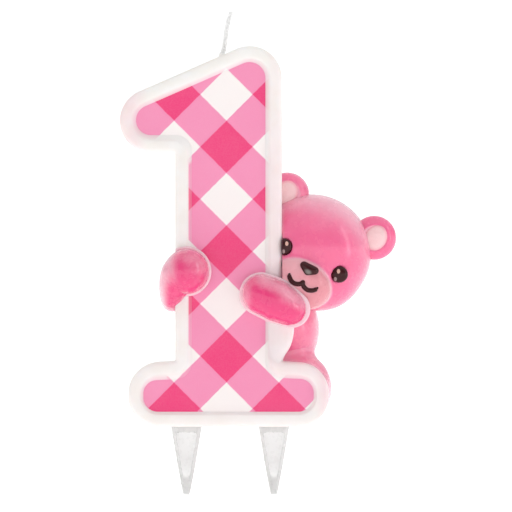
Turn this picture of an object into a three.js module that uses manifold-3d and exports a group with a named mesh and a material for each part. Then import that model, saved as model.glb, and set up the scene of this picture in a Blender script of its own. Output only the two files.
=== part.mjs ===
import * as THREE from 'three';
import { mergeVertices } from 'three/addons/utils/BufferGeometryUtils.js';
import Module from 'manifold-3d';

// A number birthday candle: the numeral 1 in ivory wax with a gingham face, hugged by a wax bear,
// on two plastic picks. Millimetres, +Z up, front towards -Y. The origin is the middle of the
// numeral's flat underside, where it sits on the cake. Left and right are the viewer's.

const wasm = await Module();
wasm.setup();

const UP = new THREE.Vector3(0, 0, 1);
const GAP = 0.3; // between pieces that meet
const BEYOND = 30; // carries a cutter past everything it cuts

// Numeral, seen from the front
const FOOT_HALF_WIDTH = 20.1;
const FOOT_HEIGHT = 12.5;
const FOOT_RISE = 0.6; // how much higher the foot is at the stem
const FOOT_ROUND = 6.2;
const STEM_HALF_WIDTH = 10.7;
const STEM_TOP = 79.7; // where the stem's right edge would meet the slanted top
const TOP_SLOPE = 0.4375;
const TOP_ROUND = 6.5;
const FLAG_UNDERSIDE = 54.9;
const FLAG_ROUND = 6.4;
const INNER_ROUND = 0.5; // in the three inward corners

// Numeral, through its thickness
const BACK_Y = 5.5;
const FRONT_Y = -5.5; // the crest of the raised rim
const FLOOR_Y = -4.1; // the recess inside the rim
const BACK_ROUND = 1.0;
const RIM_WIDTH = 2.7;
const RIM_SQUARENESS = 0.7; // below 1 the rim's section is fuller than an ellipse
const PANEL_THICKNESS = 0.6;

// Wax web between the stem and the bear's side
const WEB_Z = 19.4;
const WEB_REACH = 2.5;
const WEB_HALF_HEIGHT = 5.6;
const WEB_HALF_THICKNESS = 3.2;

// Wick
const WICK_RADIUS = 0.55;
const WICK_Y = 0.6;
const WICK_FOOT = { x: -0.4, z: 12 };
const WICK_BEND = { x: -1.9, z: 66 };
const WICK_EXIT = { x: -1.3, z: 74.4 };
const WICK_TIP = { x: 0.6, z: 83.5 };

// Picks
const PICK_X = { left: -8.5, right: 9.1 };
const PICK_Y = 0.3;
const PICK_LENGTH = 14.1;
const PICK_RADIUS = 3.1;
const PICK_TIP_RADIUS = 0.7;
const PICK_WALL = 0.7;
const PICK_WEB = 1.0; // the wall left between the front and the back recess
const RECESS_TOP = 1.5;
const RECESS_END = 11.6;
const COLLAR_TOP = 0.2; // the collar's top stands this far inside the numeral
const TONGUE_WIDTH = 3.2;
const TONGUE_THICKNESS = 1.2;
const TONGUE_HEIGHT = 10;
const TONGUE_TAPER = 0.75;

// Bear's head, in a frame turned about Y
const HEAD = { x: 17.0, y: 3.0, z: 35.1 };
const HEAD_RADII = { x: 11.8, y: 9.5, z: 11.5 };
const HEAD_TILT = THREE.MathUtils.degToRad(26.5);
const FACE_X = 0.7; // the face's own centreline
const MUZZLE = { x: 0.4, z: -6.4, sink: 1.85 };
const MUZZLE_RADII = { x: 5.6, y: 5.0, z: 5.0 };
const EYE_SPREAD = { left: -6.4, right: 6.0 };
const EYE_Z = -1.75;
const EYE_RADII = { x: 1.6, y: 0.8, z: 1.6 };
const NOSE_Z = -3.9;
const NOSE_HALF_WIDTH = 2.2;
const NOSE_HEIGHT = 2.3;
const NOSE_DEPTH = 1.6;
const MOUTH_Z = -6.45;
const MOUTH_HALF_WIDTH = 3.15;
const MOUTH_DEPTH = 0.9;
const MOUTH_RADIUS = 0.35;
const EAR = { x: 9.8, y: -0.2, z: 8.0 };
const EAR_RADII = { x: 4.4, y: 2.5, z: 4.4 };
const EAR_PAD_RADII = { x: 1.85, y: 0.9, z: 2.45 };

// Bear's body
const TORSO = { x: 11.0, y: 6.0, z: 19.5 };
const TORSO_RADII = { x: 7.3, y: 6.8, z: 9.0 };
const LEG_RIGHT = { x: 14.0, y: 4.2, z: 7.8 };
const LEG_RIGHT_RADII = { x: 7.1, y: 6.6, z: 6.9 };
const LEG_LEFT = { x: 3.6, y: 7.4, z: 7.1 };
const LEG_LEFT_RADII = { x: 6.0, y: 5.2, z: 6.8 };

const MATERIALS = {
  waxIvory: { color: 0xf6f3ea, roughness: 0.45, metalness: 0 },
  gingham: { color: 0xf58ab2, roughness: 0.4, metalness: 0 },
  waxPink: { color: 0xfb8fb2, roughness: 0.35, metalness: 0 },
  waxDeepPink: { color: 0xf25f92, roughness: 0.35, metalness: 0 },
  waxPalePink: { color: 0xfdd9df, roughness: 0.4, metalness: 0 },
  paintBlack: { color: 0x1d1216, roughness: 0.25, metalness: 0 },
  cotton: { color: 0xf3f0e8, roughness: 0.9, metalness: 0 },
  pickPlastic: { color: 0xf0f1f1, roughness: 0.35, metalness: 0 },
};

function vector(point) {
  return new THREE.Vector3(point.x, point.y ?? 0, point.z);
}

function grown(radii, by) {
  return { x: radii.x + by, y: radii.y + by, z: radii.z + by };
}

// ---- Solids and meshes ----

function solidOf(geometry) {
  const bare = geometry.clone();
  bare.deleteAttribute('normal');
  bare.deleteAttribute('uv');
  const merged = mergeVertices(bare, 1e-4);
  const mesh = new wasm.Mesh({
    numProp: 3,
    vertProperties: merged.attributes.position.array,
    triVerts: new Uint32Array(merged.index.array),
  });
  return new wasm.Manifold(mesh);
}

function geometryOf(solid) {
  const mesh = solid.getMesh();
  const geometry = new THREE.BufferGeometry();
  geometry.setAttribute('position', new THREE.BufferAttribute(mesh.vertProperties, 3));
  geometry.setIndex(new THREE.BufferAttribute(mesh.triVerts, 1));
  geometry.computeVertexNormals();
  return geometry;
}

function cut(solid, ...cutters) {
  return cutters.reduce((rest, cutter) => rest.subtract(cutter), solid);
}

function signedVolume(points, faces) {
  const across = new THREE.Vector3();
  return faces.reduce((sum, [a, b, c]) => {
    across.crossVectors(points[b], points[c]);
    return sum + points[a].dot(across) / 6;
  }, 0);
}

// Joins rings of equal length into one closed solid; endFaces(ring) gives each end's triangles.
function loft(rings, endFaces) {
  const points = rings.flat();
  const count = rings[0].length;
  const faces = [];
  for (let i = 0; i < rings.length - 1; i++) {
    for (let j = 0; j < count; j++) {
      const next = (j + 1) % count;
      const [a, b] = [i * count + j, i * count + next];
      faces.push([a, b, b + count]);
      faces.push([a, b + count, a + count]);
    }
  }
  const last = (rings.length - 1) * count;
  endFaces(rings[0]).forEach(([a, b, c]) => faces.push([a, c, b]));
  endFaces(rings.at(-1)).forEach(([a, b, c]) => faces.push([last + a, last + b, last + c]));
  const outward = signedVolume(points, faces) > 0;
  const index = faces.flatMap(([a, b, c]) => (outward ? [a, b, c] : [a, c, b]));
  const geometry = new THREE.BufferGeometry();
  const place = points.flatMap((p) => p.toArray());
  geometry.setAttribute('position', new THREE.Float32BufferAttribute(place, 3));
  geometry.setIndex(index);
  return solidOf(geometry);
}

function outlineEnd(ring) {
  const flat = ring.map((p) => new THREE.Vector2(p.x, p.z));
  return THREE.ShapeUtils.triangulateShape(flat, []);
}

function fanEnd(ring) {
  const faces = [];
  for (let i = 1; i < ring.length - 1; i++) {
    faces.push([0, i, i + 1]);
  }
  return faces;
}

function ellipsoid(centre, radii, matrix, segments = 20) {
  const geometry = new THREE.SphereGeometry(1, segments, Math.round(segments * 0.6));
  geometry.scale(radii.x, radii.y, radii.z);
  geometry.translate(centre.x, centre.y, centre.z);
  if (matrix) {
    geometry.applyMatrix4(matrix);
  }
  return solidOf(geometry);
}

// A round limb along a smooth curve, its radius eased between the given ones and its ends domed.
function limb(path, radii, by = 0, sides = 14, steps = 18) {
  const curve = new THREE.CatmullRomCurve3(path, false, 'centripetal');
  const length = curve.getLength();
  const rings = [];
  for (let i = 0; i <= steps; i++) {
    const along = (1 - Math.cos((Math.PI * i) / steps)) / 2;
    const t = THREE.MathUtils.clamp(along, 0.002, 0.998);
    const reach = t * (radii.length - 1);
    const from = Math.min(Math.floor(reach), radii.length - 2);
    const base = THREE.MathUtils.lerp(radii[from], radii[from + 1], reach - from);
    const toEnd = Math.min(t, 1 - t) * length;
    const dome = toEnd < base ? Math.sqrt(1 - (1 - toEnd / base) ** 2) : 1;
    const tangent = curve.getTangent(t);
    const side = new THREE.Vector3().crossVectors(tangent, UP).normalize();
    const rise = new THREE.Vector3().crossVectors(side, tangent);
    rings.push(ringAround(curve.getPoint(t), side, rise, base * dome + by, sides));
  }
  return loft(rings, fanEnd);
}

function ringAround(centre, side, rise, radius, sides) {
  const ring = [];
  for (let j = 0; j < sides; j++) {
    const turn = (2 * Math.PI * j) / sides;
    const point = centre.clone();
    point.addScaledVector(side, radius * Math.cos(turn));
    point.addScaledVector(rise, radius * Math.sin(turn));
    ring.push(point);
  }
  return ring;
}

// A round rod of one radius along a curve
function rod(curve, radius, steps, sides = 8, reference = UP) {
  const rings = [];
  for (let i = 0; i <= steps; i++) {
    const tangent = curve.getTangent(i / steps);
    const side = new THREE.Vector3().crossVectors(tangent, reference).normalize();
    const rise = new THREE.Vector3().crossVectors(side, tangent);
    rings.push(ringAround(curve.getPoint(i / steps), side, rise, radius, sides));
  }
  return loft(rings, fanEnd);
}

// ---- Numeral ----

function numeralCorners() {
  const flagTip = STEM_HALF_WIDTH - (STEM_TOP - FLAG_UNDERSIDE) / TOP_SLOPE;
  const footTop = FOOT_HEIGHT + FOOT_RISE;
  return [
    { x: -FOOT_HALF_WIDTH, z: 0, round: FOOT_ROUND, steps: 7 },
    { x: FOOT_HALF_WIDTH, z: 0, round: FOOT_ROUND, steps: 7 },
    { x: FOOT_HALF_WIDTH, z: FOOT_HEIGHT, round: FOOT_ROUND, steps: 7 },
    { x: STEM_HALF_WIDTH, z: footTop, round: INNER_ROUND, steps: 4 },
    { x: STEM_HALF_WIDTH, z: STEM_TOP, round: TOP_ROUND, steps: 9 },
    { x: flagTip, z: FLAG_UNDERSIDE, round: FLAG_ROUND, steps: 12 },
    { x: -STEM_HALF_WIDTH, z: FLAG_UNDERSIDE, round: INNER_ROUND, steps: 4 },
    { x: -STEM_HALF_WIDTH, z: footTop, round: INNER_ROUND, steps: 4 },
    { x: -FOOT_HALF_WIDTH, z: FOOT_HEIGHT, round: FOOT_ROUND, steps: 7 },
  ];
}

// The rounded outline, anticlockwise from the front, each point with its outward normal.
function numeralOutline() {
  const corners = numeralCorners();
  return corners.flatMap((corner, i) => {
    const before = corners.at(i - 1);
    const after = corners[(i + 1) % corners.length];
    const heading = Math.atan2(corner.z - before.z, corner.x - before.x);
    const leaving = Math.atan2(after.z - corner.z, after.x - corner.x);
    const turn = THREE.MathUtils.euclideanModulo(leaving - heading + Math.PI, 2 * Math.PI) - Math.PI;
    const reach = corner.round * Math.tan(Math.abs(turn) / 2);
    const bend = Math.sign(turn) * corner.round;
    const centreX = corner.x - reach * Math.cos(heading) - bend * Math.sin(heading);
    const centreZ = corner.z - reach * Math.sin(heading) + bend * Math.cos(heading);
    const points = [];
    for (let k = 0; k <= corner.steps; k++) {
      const angle = heading + (turn * k) / corner.steps;
      const normal = { x: Math.sin(angle), z: -Math.cos(angle) };
      points.push({ x: centreX + bend * normal.x, z: centreZ + bend * normal.z, normal });
    }
    return points;
  });
}

const OUTLINE = numeralOutline();

function outlineRing(inset, y) {
  return OUTLINE.map((p) => new THREE.Vector3(p.x - inset * p.normal.x, y, p.z - inset * p.normal.z));
}

// The outline carried through the thickness, with by added all round.
function numeralBlank(by) {
  const rings = [];
  const backSteps = 3;
  for (let i = 0; i <= backSteps; i++) {
    const angle = (Math.PI / 2) * (i / backSteps);
    const inset = BACK_ROUND * (1 - Math.sin(angle));
    rings.push(outlineRing(inset - by, BACK_Y + by - BACK_ROUND * (1 - Math.cos(angle))));
  }
  rings.push(outlineRing(-by, FLOOR_Y));
  return { rings, crest: FRONT_Y - by };
}

function numeralShell() {
  const { rings } = numeralBlank(0);
  const steps = 8;
  for (let i = 1; i <= steps; i++) {
    const angle = (Math.PI * i) / steps;
    const across = Math.sign(Math.cos(angle)) * Math.abs(Math.cos(angle)) ** RIM_SQUARENESS;
    const height = i < steps ? Math.sin(angle) ** RIM_SQUARENESS : 0;
    rings.push(outlineRing((RIM_WIDTH / 2) * (1 - across), FLOOR_Y - (FLOOR_Y - FRONT_Y) * height));
  }
  return loft(rings, outlineEnd);
}

// The space that the numeral needs among its neighbours; forward carries it through the front.
function numeralEnvelope(forward = 0) {
  const { rings, crest } = numeralBlank(GAP);
  rings.push(outlineRing(-GAP, crest - forward));
  return loft(rings, outlineEnd);
}

function webSolid(by = 0) {
  const shape = new THREE.Shape();
  const inside = STEM_HALF_WIDTH - 1;
  shape.moveTo(inside, WEB_Z - WEB_HALF_HEIGHT - by);
  shape.lineTo(STEM_HALF_WIDTH, WEB_Z - WEB_HALF_HEIGHT - by);
  const [reach, half] = [WEB_REACH + by, WEB_HALF_HEIGHT + by];
  shape.absellipse(STEM_HALF_WIDTH, WEB_Z, reach, half, -Math.PI / 2, Math.PI / 2);
  shape.lineTo(inside, WEB_Z + WEB_HALF_HEIGHT + by);
  const depth = 2 * (WEB_HALF_THICKNESS + by);
  const geometry = new THREE.ExtrudeGeometry(shape, { depth, bevelEnabled: false, curveSegments: 14 });
  geometry.rotateX(Math.PI / 2);
  geometry.translate(0, depth / 2, 0);
  return solidOf(geometry);
}

function wickCurve(tipBeyond = 0) {
  const lean = vector(WICK_TIP).sub(vector(WICK_EXIT)).normalize();
  const tip = vector(WICK_TIP).addScaledVector(lean, tipBeyond);
  const stops = [vector(WICK_FOOT), vector(WICK_BEND), vector(WICK_EXIT), tip];
  stops.forEach((stop) => stop.setY(WICK_Y));
  return new THREE.CatmullRomCurve3(stops, false, 'centripetal');
}

function wickChannel() {
  return rod(wickCurve(), WICK_RADIUS + GAP, 16, 8, new THREE.Vector3(0, 1, 0));
}

function pickSocket(x) {
  const wide = TONGUE_WIDTH + 2 * GAP;
  const thick = TONGUE_THICKNESS + 2 * GAP;
  const deep = COLLAR_TOP + TONGUE_HEIGHT + GAP;
  const slot = new THREE.BoxGeometry(wide, thick, deep + 1);
  slot.translate(x, PICK_Y, (deep - 1) / 2);
  const wellDepth = COLLAR_TOP + GAP;
  const well = new THREE.CylinderGeometry(PICK_RADIUS + GAP, PICK_RADIUS + GAP, wellDepth + 1, 32);
  well.rotateX(Math.PI / 2);
  well.translate(x, PICK_Y, (wellDepth - 1) / 2);
  return solidOf(slot).add(solidOf(well));
}

function numeralBody() {
  const blank = numeralShell().add(webSolid());
  return cut(blank, wickChannel(), pickSocket(PICK_X.left), pickSocket(PICK_X.right));
}

function ginghamPanel() {
  const inset = RIM_WIDTH + GAP;
  const edge = PANEL_THICKNESS / 4;
  const rings = [
    outlineRing(inset, FLOOR_Y),
    outlineRing(inset, FLOOR_Y - PANEL_THICKNESS + edge),
    outlineRing(inset + edge, FLOOR_Y - PANEL_THICKNESS),
  ];
  return loft(rings, outlineEnd);
}

function wick() {
  return rod(wickCurve(), WICK_RADIUS, 16, 8, new THREE.Vector3(0, 1, 0));
}

// ---- Picks ----

function pickRadius(depth) {
  return THREE.MathUtils.lerp(PICK_RADIUS, PICK_TIP_RADIUS, depth / (PICK_LENGTH - PICK_TIP_RADIUS));
}

function pickCone() {
  const tipCentre = PICK_LENGTH - PICK_TIP_RADIUS;
  const tipSteps = 4;
  const profile = [];
  for (let i = 0; i <= tipSteps; i++) {
    const angle = (Math.PI / 2) * (i / tipSteps);
    profile.push(
      new THREE.Vector2(PICK_TIP_RADIUS * Math.sin(angle), -tipCentre - PICK_TIP_RADIUS * Math.cos(angle)),
    );
  }
  profile[0].x = 0;
  profile.push(new THREE.Vector2(PICK_RADIUS, 0));
  profile.push(new THREE.Vector2(PICK_RADIUS, COLLAR_TOP));
  profile.push(new THREE.Vector2(0, COLLAR_TOP));
  const geometry = new THREE.LatheGeometry(profile, 24);
  geometry.rotateX(Math.PI / 2);
  return solidOf(geometry);
}

// The arched recess in one face of the pick, from the middle web outwards
function pickRecess() {
  const arch = pickRadius(RECESS_TOP) - PICK_WALL;
  const low = pickRadius(RECESS_END) - PICK_WALL;
  const shape = new THREE.Shape();
  shape.moveTo(-low, -RECESS_END);
  shape.lineTo(low, -RECESS_END);
  shape.lineTo(arch, -RECESS_TOP - arch);
  shape.absarc(0, -RECESS_TOP - arch, arch, 0, Math.PI);
  const settings = { depth: BEYOND, bevelEnabled: false, curveSegments: 12 };
  const geometry = new THREE.ExtrudeGeometry(shape, settings);
  geometry.rotateX(Math.PI / 2);
  geometry.translate(0, -PICK_WEB / 2, 0);
  return geometry;
}

function pickTongue() {
  const tongue = new THREE.BoxGeometry(TONGUE_WIDTH, TONGUE_THICKNESS, TONGUE_HEIGHT + COLLAR_TOP / 2);
  tongue.translate(0, 0, (TONGUE_HEIGHT + COLLAR_TOP / 2) / 2 + COLLAR_TOP / 2);
  const place = tongue.attributes.position;
  for (let i = 0; i < place.count; i++) {
    if (place.getZ(i) > TONGUE_HEIGHT / 2) {
      place.setX(i, place.getX(i) * TONGUE_TAPER);
    }
  }
  return solidOf(tongue);
}

function pick(x) {
  const front = pickRecess();
  const back = pickRecess();
  back.rotateZ(Math.PI);
  const solid = cut(pickCone(), solidOf(front), solidOf(back)).add(pickTongue());
  return solid.translate([x, PICK_Y, 0]);
}

// ---- Bear ----

const HEAD_MATRIX = new THREE.Matrix4()
  .makeRotationY(HEAD_TILT)
  .setPosition(HEAD.x, HEAD.y, HEAD.z);
const CENTRE = { x: 0, y: 0, z: 0 };

// How far in front of its centre an upright ellipsoid's surface lies at (x, z)
function frontOf(radii, x, z) {
  return -radii.y * Math.sqrt(1 - (x / radii.x) ** 2 - (z / radii.z) ** 2);
}

const MUZZLE_CENTRE = {
  x: MUZZLE.x,
  y: frontOf(HEAD_RADII, MUZZLE.x, MUZZLE.z) + MUZZLE.sink,
  z: MUZZLE.z,
};

function muzzleFront(x, z) {
  return MUZZLE_CENTRE.y + frontOf(MUZZLE_RADII, x - MUZZLE_CENTRE.x, z - MUZZLE_CENTRE.z);
}

function headBlank(by) {
  return ellipsoid(CENTRE, grown(HEAD_RADII, by), HEAD_MATRIX, 24);
}

function muzzleBlank(by) {
  return ellipsoid(MUZZLE_CENTRE, grown(MUZZLE_RADII, by), HEAD_MATRIX, 20);
}

function eyeBlank(x, by) {
  const centre = { x: x + FACE_X, y: frontOf(HEAD_RADII, x + FACE_X, EYE_Z), z: EYE_Z };
  return ellipsoid(centre, grown(EYE_RADII, by), HEAD_MATRIX, 12);
}

function noseBlank(by) {
  const shape = new THREE.Shape();
  const [half, tall] = [NOSE_HALF_WIDTH + by, NOSE_HEIGHT + 2 * by];
  shape.moveTo(0, -tall / 2);
  shape.quadraticCurveTo(half * 0.5, -tall / 2, half * 0.9, tall * 0.1);
  shape.quadraticCurveTo(half * 1.1, tall / 2, half * 0.5, tall / 2);
  shape.lineTo(-half * 0.5, tall / 2);
  shape.quadraticCurveTo(-half * 1.1, tall / 2, -half * 0.9, tall * 0.1);
  shape.quadraticCurveTo(-half * 0.5, -tall / 2, 0, -tall / 2);
  const depth = NOSE_DEPTH + 2 * by;
  const geometry = new THREE.ExtrudeGeometry(shape, { depth, bevelEnabled: false, curveSegments: 5 });
  geometry.rotateX(Math.PI / 2);
  geometry.translate(FACE_X, muzzleFront(FACE_X, NOSE_Z) + depth / 2, NOSE_Z);
  geometry.applyMatrix4(HEAD_MATRIX);
  return solidOf(geometry);
}

// The mouth is two shallow scoops side by side, lying on the muzzle.
function mouthBlank(by) {
  const stops = [];
  const steps = 10;
  for (let i = 0; i <= steps; i++) {
    const across = (2 * i) / steps - 1;
    const x = FACE_X + MOUTH_HALF_WIDTH * across;
    const z = MOUTH_Z - MOUTH_DEPTH * Math.abs(Math.sin(Math.PI * across)) ** 0.8;
    stops.push(new THREE.Vector3(x, muzzleFront(x, z), z).applyMatrix4(HEAD_MATRIX));
  }
  const curve = new THREE.CatmullRomCurve3(stops, false, 'centripetal');
  return rod(curve, MOUTH_RADIUS + by, 2 * steps, 6, new THREE.Vector3(0, 1, 0));
}

function earBlank(side, by) {
  return ellipsoid({ ...EAR, x: side * EAR.x }, grown(EAR_RADII, by), HEAD_MATRIX, 18);
}

function earPadBlank(side, by) {
  const centre = { x: side * EAR.x, y: EAR.y - EAR_RADII.y, z: EAR.z };
  return ellipsoid(centre, grown(EAR_PAD_RADII, by), HEAD_MATRIX, 12);
}

function torsoBlank(by) {
  return ellipsoid(TORSO, grown(TORSO_RADII, by), null, 20);
}

function armRightBlank(by) {
  const path = [
    new THREE.Vector3(13.0, 3.0, 23.4),
    new THREE.Vector3(12.6, -2.5, 23.9),
    new THREE.Vector3(11.6, -7.0, 24.7),
    new THREE.Vector3(8.4, -8.4, 25.9),
    new THREE.Vector3(2.5, -8.4, 27.6),
  ];
  return limb(path, [3.6, 4.2, 4.3, 4.4, 4.4], by);
}

function armLeftBlank(by) {
  const path = [
    new THREE.Vector3(7.0, 8.6, 23.4),
    new THREE.Vector3(0.0, 9.2, 24.6),
    new THREE.Vector3(-7.2, 8.5, 25.4),
    new THREE.Vector3(-10.6, 4.0, 25.7),
    new THREE.Vector3(-11.1, -1.6, 26.4),
    new THREE.Vector3(-10.3, -6.2, 28.4),
    new THREE.Vector3(-5.8, -8.2, 35.1),
  ];
  return limb(path, [3.5, 3.4, 3.1, 2.6, 2.5, 3.6, 4.8], by, 14, 26);
}

function buildBear(add) {
  const envelope = numeralEnvelope().add(webSolid(GAP));
  const through = numeralEnvelope(BEYOND);
  const head = headBlank(0);
  const muzzle = muzzleBlank(0);
  const nose = noseBlank(GAP);
  const mouth = mouthBlank(GAP);
  const armRight = armRightBlank(0);
  const armRightRoom = armRightBlank(GAP);
  const headRoom = headBlank(GAP);
  const torsoRoom = torsoBlank(GAP);
  const eyes = [eyeBlank(EYE_SPREAD.left, GAP), eyeBlank(EYE_SPREAD.right, GAP)];
  add('bear_head', cut(head, through, muzzleBlank(GAP), nose, ...eyes, armRightRoom), 'waxPink');
  add('bear_muzzle', cut(muzzle, through, nose, mouth, armRightRoom), 'waxPalePink');
  add('bear_nose', cut(noseBlank(0), through), 'paintBlack');
  add('bear_mouth', cut(mouthBlank(0), through, armRightRoom), 'paintBlack');
  add('bear_eye_left', cut(eyeBlank(EYE_SPREAD.left, 0), through), 'paintBlack');
  add('bear_eye_right', eyeBlank(EYE_SPREAD.right, 0), 'paintBlack');
  for (const [name, side] of [['left', -1], ['right', 1]]) {
    const ear = cut(earBlank(side, 0), headRoom, through, earPadBlank(side, GAP));
    add(`bear_ear_${name}`, ear, 'waxPink');
    add(`bear_ear_pad_${name}`, cut(earPadBlank(side, 0), headRoom, through), 'waxPalePink');
  }
  add('bear_arm_right', cut(armRight, envelope), 'waxDeepPink');
  const torso = cut(torsoBlank(0), envelope, headRoom, muzzleBlank(GAP), armRightRoom);
  add('bear_torso', torso, 'waxPink');
  const armLeft = cut(armLeftBlank(0), envelope, torsoRoom, headRoom);
  add('bear_arm_left', armLeft, 'waxDeepPink');
  const legRight = cut(ellipsoid(LEG_RIGHT, LEG_RIGHT_RADII), envelope, torsoRoom);
  add('bear_leg_right', legRight, 'waxPink');
  const legLeft = cut(
    ellipsoid(LEG_LEFT, LEG_LEFT_RADII),
    envelope,
    torsoRoom,
    ellipsoid(LEG_RIGHT, grown(LEG_RIGHT_RADII, GAP)),
  );
  add('bear_leg_left', legLeft, 'waxPink');
}

// ---- Assembly ----

const group = new THREE.Group();

function add(name, solid, material) {
  const mesh = new THREE.Mesh(geometryOf(solid), new THREE.MeshStandardMaterial(MATERIALS[material]));
  mesh.name = name;
  group.add(mesh);
}

add('numeral_body', numeralBody(), 'waxIvory');
add('gingham_panel', ginghamPanel(), 'gingham');
add('wick', wick(), 'cotton');
add('pick_left', pick(PICK_X.left), 'pickPlastic');
add('pick_right', pick(PICK_X.right), 'pickPlastic');
buildBear(add);

export default group;
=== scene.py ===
"""The looks of the number birthday candle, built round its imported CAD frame.

Forms are worked out in millimetres, in the frame's own axes: +Z up, the front towards -Y, and the
origin in the middle of the numeral's underside. Left and right are the viewer's.
"""

import itertools
import math

import bpy
import numpy as np
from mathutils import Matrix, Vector


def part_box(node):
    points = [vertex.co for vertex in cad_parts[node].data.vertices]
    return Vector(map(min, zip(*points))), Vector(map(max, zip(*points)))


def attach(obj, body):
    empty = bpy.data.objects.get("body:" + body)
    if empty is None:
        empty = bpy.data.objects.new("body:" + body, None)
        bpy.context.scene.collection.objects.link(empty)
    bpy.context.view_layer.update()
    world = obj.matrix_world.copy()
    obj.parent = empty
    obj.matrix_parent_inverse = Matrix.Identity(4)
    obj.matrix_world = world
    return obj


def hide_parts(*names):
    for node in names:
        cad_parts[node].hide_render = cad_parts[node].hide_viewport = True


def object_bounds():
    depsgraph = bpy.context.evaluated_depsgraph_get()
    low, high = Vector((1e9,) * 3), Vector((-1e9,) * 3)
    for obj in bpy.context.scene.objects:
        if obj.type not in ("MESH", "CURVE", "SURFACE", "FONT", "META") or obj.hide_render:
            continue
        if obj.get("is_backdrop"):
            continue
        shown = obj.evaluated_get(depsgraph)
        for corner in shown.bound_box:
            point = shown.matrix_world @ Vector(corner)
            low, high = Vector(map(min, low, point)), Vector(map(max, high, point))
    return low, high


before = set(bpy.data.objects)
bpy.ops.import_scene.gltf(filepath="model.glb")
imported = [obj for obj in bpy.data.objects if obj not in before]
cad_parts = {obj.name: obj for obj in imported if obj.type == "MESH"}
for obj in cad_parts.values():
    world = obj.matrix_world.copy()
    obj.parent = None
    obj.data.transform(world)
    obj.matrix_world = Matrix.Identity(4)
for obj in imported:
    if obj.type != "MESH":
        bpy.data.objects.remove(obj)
cad_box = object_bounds()
MM = 0.001
BODY = "candle"


def box_mm(node):
    """A CAD node's lowest and highest corners, in millimetres."""
    low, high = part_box(node)
    return np.array(low) / MM, np.array(high) / MM


# ---- Sizes ----

NUMERAL_LOW, NUMERAL_HIGH = box_mm("numeral_body")
FOOT_HALF = NUMERAL_HIGH[0]
BACK_Y = NUMERAL_HIGH[1]
CREST_Y = NUMERAL_LOW[1]
PRINT_Y = box_mm("gingham_panel")[0][1]
FLOOR_Y = box_mm("gingham_panel")[1][1]
STEM_HALF = 10.7
FOOT_TOP = 12.5
FOOT_RISE = 0.6
FOOT_ROUND = 6.2
STEM_TOP = 79.7
TOP_SLOPE = 0.4375
TOP_ROUND = 6.5
FLAG_BOTTOM = 54.9
FLAG_ROUND = 6.4
INNER_ROUND = 0.5
RIM_ROUND = 0.95  # radius of the rim's outer shoulder
BACK_ROUND = 1.0
RIM_FLAT = 2.4  # from the outline to the inner edge of the rim's flat top

# Web beside the stem: an upright oval, seen from the front
WEB = np.array([STEM_HALF - 0.6, -0.9, 20.3])
WEB_REACH = 3.05
WEB_HALF_HEIGHT = 6.3

# Print's outline, where the rim's inner slope ends: it keeps further from some edges than others
PRINT_STEM = (-7.36, 7.38)
PRINT_END = 17.05
PRINT_BOTTOM = 3.02
PRINT_FOOT_LEFT = (9.2, 9.7)  # its height at the foot's end and at the stem
PRINT_FOOT_RIGHT = (9.5, 9.9)
PRINT_FLAG = 58.4
PRINT_SLOPE_DROP = 3.55

# Gingham: dark squares stand on their corners, one above another
CHECK_SIDE = 7.41
CHECK_X = -0.42
CHECK_Z = 35.1

# Bear's head, in its own frame, turned about Y
HEAD_TILT = math.radians(26.5)
HEAD_COS, HEAD_SIN = math.cos(HEAD_TILT), math.sin(HEAD_TILT)
HEAD_RADII = np.array([11.8, 9.5, 11.5])
HEAD_REACH = np.array([11.71, 9.5, 11.56])  # how far the tilted head reaches along the frame's axes
HEAD = box_mm("bear_head")[1] - HEAD_REACH
CHEEK = np.array([4.0, -1.0, -3.8])
CHEEK_RADII = np.array([6.1, 6.4, 5.9])
MUZZLE = np.array([0.5, -6.05, -6.35])
MUZZLE_RADII = np.array([6.4, 5.0, 5.6])
EYES_X = {"left": -5.7, "right": 6.7}
EYE_Z = -1.75
EYE_RADII = np.array([1.68, 0.85, 1.66])
NOSE_X = 0.7
NOSE_Z = -3.8
MOUTH_X = 0.8
MOUTH_Z = -6.2
MOUTH_HALF = 3.1
MOUTH_DROP = 1.05
EAR = np.array([9.8, -0.2, 8.0])
EAR_RADII = np.array([4.45, 2.5, 4.45])
EAR_HOLLOW_RADII = np.array([2.75, 1.9, 3.0])
EAR_PAD = np.array([0.25, -1.55, 0.1])  # from the ear's middle
EAR_PAD_RADII = np.array([2.4, 0.8, 2.85])

# Bear's body
TORSO_RADII = np.array([7.3, 6.8, 9.0])
TORSO = np.array([*(box_mm("bear_torso")[1][:2] - TORSO_RADII[:2]), 19.5])
LEG_RIGHT_RADII = np.array([6.8, 6.6, 6.9])
LEG_RIGHT = np.array([*(box_mm("bear_leg_right")[1][:2] - LEG_RIGHT_RADII[:2] - (0.4, 0.0)), 7.8])
LEG_LEFT_RADII = np.array([6.0, 5.2, 6.8])
LEG_LEFT = np.array([3.6, 7.4, 7.1])
ARM_RIGHT = [(12.6, 4.0, 24.2), (13.0, -1.5, 23.8), (12.6, -6.6, 23.6), (9.5, -7.6, 25.3), (6.5, -7.4, 26.6)]
ARM_RIGHT_RADII = [3.0, 3.0, 3.2, 4.0, 3.8]
ARM_RIGHT_BASE = (-6.0, -0.15)  # its pale base faces forwards at this y over x = 0, and slopes so with x
ARM_LEFT = [
    (7.0, 8.6, 23.6),
    (0.0, 9.4, 24.6),
    (-7.2, 8.4, 26.0),
    (-10.5, 5.4, 25.6),
    (-11.2, 1.6, 25.0),
    (-11.4, -2.6, 25.6),
    (-11.0, -5.6, 27.9),
    (-10.0, -6.9, 30.2),
    (-8.4, -7.3, 31.15),
]
ARM_LEFT_RADII = [3.4, 3.4, 2.9, 2.4, 2.0, 2.2, 2.9, 3.6, 4.45]
ARM_LEFT_BASE = (-6.6, 0.0)
ARM_BASE_BROADER = 0.55

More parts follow.
